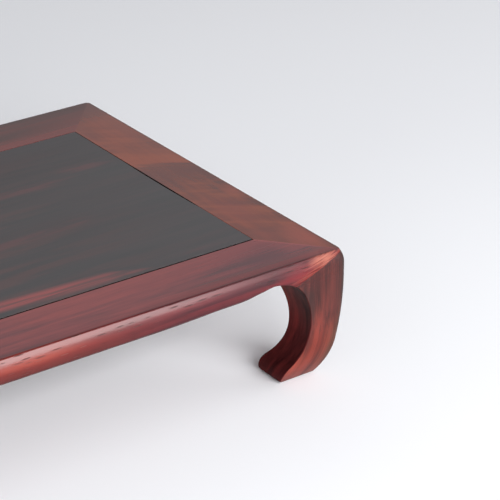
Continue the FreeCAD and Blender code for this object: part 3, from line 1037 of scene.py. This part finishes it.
def dress_panel():
    """Near-black wood with faint red streaks, a red flame along its front edge, and painted shade on its
    edge down in the gap.
    """
    wood = Wood("panel_wood", "X", PANEL_TONES, shift=(0.4, 0.2, 0.1), pores=0.0, gloss=0.31)
    haze = wood.fade(wood.noise(wood.place, HAZE_REPEATS), 0.46, 0.62)
    wood.tint(HAZE_RED, haze, wood.along(115, 20), share=0.65)
    dashes = wood.largest(*[wood.streak(*dash) for dash in PANEL_DASHES])
    breaks = wood.noise(wood.place, DASH_BREAK_REPEATS, roughness=0.6)
    broken = wood.fade(breaks, 0.36, 0.6, low=0.15)
    wood.tint(DASH_RED, dashes, broken, share=0.55)
    ribbon = wood.product(
        wood.streak(*FRONT_FLAME), wood.along(30, 60, low=1.0, high=0.75), wood.along(-100, 0, low=0.15)
    )
    tail = wood.product(wood.streak(*FRONT_FLAME_TAIL), 0.5)
    strands = wood.noise(wood.place, STRAND_REPEATS, roughness=0.6)
    strands = wood.fade(strands, 0.34, 0.58, low=0.35)
    wood.tint(FRONT_FLAME_RED, wood.largest(ribbon, tail), strands, share=0.9)
    # Painted shade on the panel's edge down in the gap
    below_top = wood.fade(wood.z, top - 0.05 * MM, top - 0.25 * MM)
    in_gap = wood.product(below_top, wood.fade(wood.z, top - 4 * MM, top - 3 * MM))
    wood.tint(PANEL_GAP_PAINTED_SHADE, in_gap, share=0.9)
    shine = wood.reckon("ADD", wood.along(60, 110, high=0.07), wood.back(5, -70, high=0.21))
    top_matt = wood.less(wood.back(0, 60, high=0.25), shine)
    wood.matt = wood.scaled(in_gap, 0.9, wood.product(top_matt, wood.rest(in_gap)))
    return wood.polish()


# The frame: each rail's half span, rim, own width, width of the rails that meet it, and arch
LONG_RAIL = (half_length, half_depth, long_rail_width, short_rail_width, front_curve)
SHORT_RAIL = (half_depth, half_length, short_rail_width, long_rail_width, side_curve)
RAILS = (
    ("front_rail", LONG_RAIL, 0, dress_front_rail),
    ("right_rail", SHORT_RAIL, 90, dress_right_rail),
    ("back_rail", LONG_RAIL, 180, dress_back_rail),
    ("left_rail", SHORT_RAIL, 270, dress_left_rail),
)
for rail_name, layout, turn_degrees, dress in RAILS:
    make_rail(rail_name + "_board", rail_name, *layout, turn_degrees, dress())

# The legs, and the split bamboo pegs beside them
PEG_TONES = ((0.25, 0.15, 0.07), (0.4, 0.26, 0.13), (0.5, 0.36, 0.2))
leg_wood = leg_base("leg_wood", shift=(0.2, 0.11, 0.03)).polish()
front_right_leg_wood = dress_front_right_leg()
peg_wood = Wood("peg_wood", "Z", PEG_TONES, shift=(0.1, 0.1, 0.4), gloss=0.5, sheen=0.3).polish()
for side_name, side in (("front", -1), ("back", 1)):
    for end_name, end in (("left", -1), ("right", 1)):
        corner_name = side_name + "_" + end_name
        corner_wood = front_right_leg_wood if corner_name == "front_right" else leg_wood
        make_leg(corner_name + "_hoof_leg", corner_name + "_leg", side, end, corner_wood)
        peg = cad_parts[corner_name + "_peg"]
        peg.data.materials.clear()
        peg.data.materials.append(peg_wood)

# The panel, and the planed and waxed battens under it
BATTEN_TONES = ((0.055, 0.012, 0.008), (0.13, 0.032, 0.016), (0.2, 0.055, 0.025))
make_panel(dress_panel())
batten = Wood("batten_wood", "Y", BATTEN_TONES, shift=(0.7, 0.3, 0.2), gloss=0.55, sheen=0.25)
batten_wood = batten.polish()
make_batten("left_batten_bar", "left_batten", batten_wood)
make_batten("right_batten_bar", "right_batten", batten_wood)

# Floor
FLOOR_REACH = 4.0
PAPER_REPEATS = (3.0, 3.0, 3.0)
PAPER_TONES = ((0.3, (0.865, 0.875, 0.905)), (0.7, (0.875, 0.885, 0.915)))
PAPER_DEPTH = (-0.16, 0.12)
PAPER_DEPTH_PAINTED_SHADE = (0.93, 0.93, 0.935)
floor_shape = bmesh.new()
bmesh.ops.create_grid(floor_shape, x_segments=1, y_segments=1, size=FLOOR_REACH)
floor_mesh = bpy.data.meshes.new("floor")
floor_shape.to_mesh(floor_mesh)
floor_shape.free()
floor = set_out("floor", floor_mesh)
paper_material = bpy.data.materials.new("floor_paper")
paper = Mixture(paper_material)
paper_place = paper.add("ShaderNodeTexCoord", {})["Object"]
paper_colour = paper.ramp(paper.noise(paper_place, PAPER_REPEATS, detail=2.0), PAPER_TONES)
# Painted shade: the floor darker towards the back, as if the light fell off
paper_depth = paper.fade(paper.axes(paper_place)["Y"], *PAPER_DEPTH)
paper_colour = paper.mix(paper_depth, paper_colour, PAPER_DEPTH_PAINTED_SHADE, "MULTIPLY")
paper_inputs = {"Base Color": paper_colour, "Roughness": 0.8, "IOR": 1.2}
paper_shader = paper.add("ShaderNodeBsdfPrincipled", paper_inputs)[0]
paper.add("ShaderNodeOutputMaterial", {"Surface": paper_shader})
floor_mesh.materials.append(paper_material)

# Camera
EYE_FROM_CORNER = Vector((-484.0, -606.3, 380.9)) * MM
VIEW_TURN = math.radians(35.83)
VIEW_DIP = math.radians(26.23)
RIM_SIGHT_INSET = 0.4 * MM
SENSOR_WIDTH = 36
LENS_LENGTH = 148.52
camera_data = bpy.data.cameras.new("camera")
camera_data.sensor_width = SENSOR_WIDTH
camera_data.lens = LENS_LENGTH
camera = set_out("camera", camera_data)
sighted_corner = Vector((half_length - RIM_SIGHT_INSET, RIM_SIGHT_INSET - half_depth, top))
camera.location = sighted_corner + EYE_FROM_CORNER
camera.rotation_euler = (QUARTER_TURN - VIEW_DIP, 0, -VIEW_TURN)
bpy.context.scene.camera = camera


# Studio light
def softbox(name, bearing, elevation, distance, width, tall, watts):
    """A rectangle of soft light; bearing is in degrees to the right of the stand's front."""
    data = bpy.data.lights.new(name, "AREA")
    data.shape = "RECTANGLE"
    data.size = width
    data.size_y = tall
    data.energy = watts
    turn = math.radians(bearing)
    lift = math.radians(elevation)
    away = Vector((math.sin(turn) * math.cos(lift), -math.cos(turn) * math.cos(lift), math.sin(lift)))
    lamp = set_out(name, data)
    lamp.location = away * distance
    lamp.rotation_mode = "QUATERNION"
    lamp.rotation_quaternion = away.to_track_quat("Z", "Y")
    lamp.visible_camera = False


softbox("front_window", bearing=5.5, elevation=22, distance=1.9, width=1.8, tall=1.2, watts=65)
softbox("right_window", bearing=70, elevation=38, distance=2.2, width=1.2, tall=1.2, watts=10)

# The room: even light, but the polish mirrors a pale backdrop, dimmer overhead and on the camera's side
BACKDROP_GREYS = ((0.3, 0.68), (0.46, 0.79), (0.57, 0.79), (0.8, 0.12))
BACKDROP_BLUE = 1.015
BACKDROP_SIDE = (0.62, 0.78, 0.0)
BACKDROP_TURN = (-0.4, 0.6)
BACKDROP_DIM = 0.55
EVEN_FILL = 0.79
SEEN_BACKDROP = (0.8, 0.81, 0.83)
world = bpy.data.worlds.new("studio")
bpy.context.scene.world = world
room = Mixture(world)
way = room.add("ShaderNodeTexCoord", {})["Generated"]
backdrop_tones = [(height, (grey, grey, grey * BACKDROP_BLUE)) for height, grey in BACKDROP_GREYS]
backdrop_colour = room.ramp(room.axes(way)["Z"], backdrop_tones)
mirrored = room.fade(room.vector("DOT_PRODUCT", way, BACKDROP_SIDE), *BACKDROP_TURN, low=BACKDROP_DIM)
ray = room.add("ShaderNodeLightPath", {})
strength = room.add("ShaderNodeMix", {0: ray["Is Glossy Ray"], 2: EVEN_FILL, 3: mirrored})[0]
backdrop = room.add("ShaderNodeBackground", {"Color": backdrop_colour, "Strength": strength})[0]
seen_backdrop = room.add("ShaderNodeBackground", {"Color": opaque(SEEN_BACKDROP)})[0]
chosen_inputs = {0: ray["Is Camera Ray"], 1: backdrop, 2: seen_backdrop}
chosen = room.add("ShaderNodeMixShader", chosen_inputs)[0]
room.add("ShaderNodeOutputWorld", {"Surface": chosen})

bpy.context.scene.view_settings.view_transform = "Standard"

# Bring the scene up to date
bpy.context.view_layer.update()
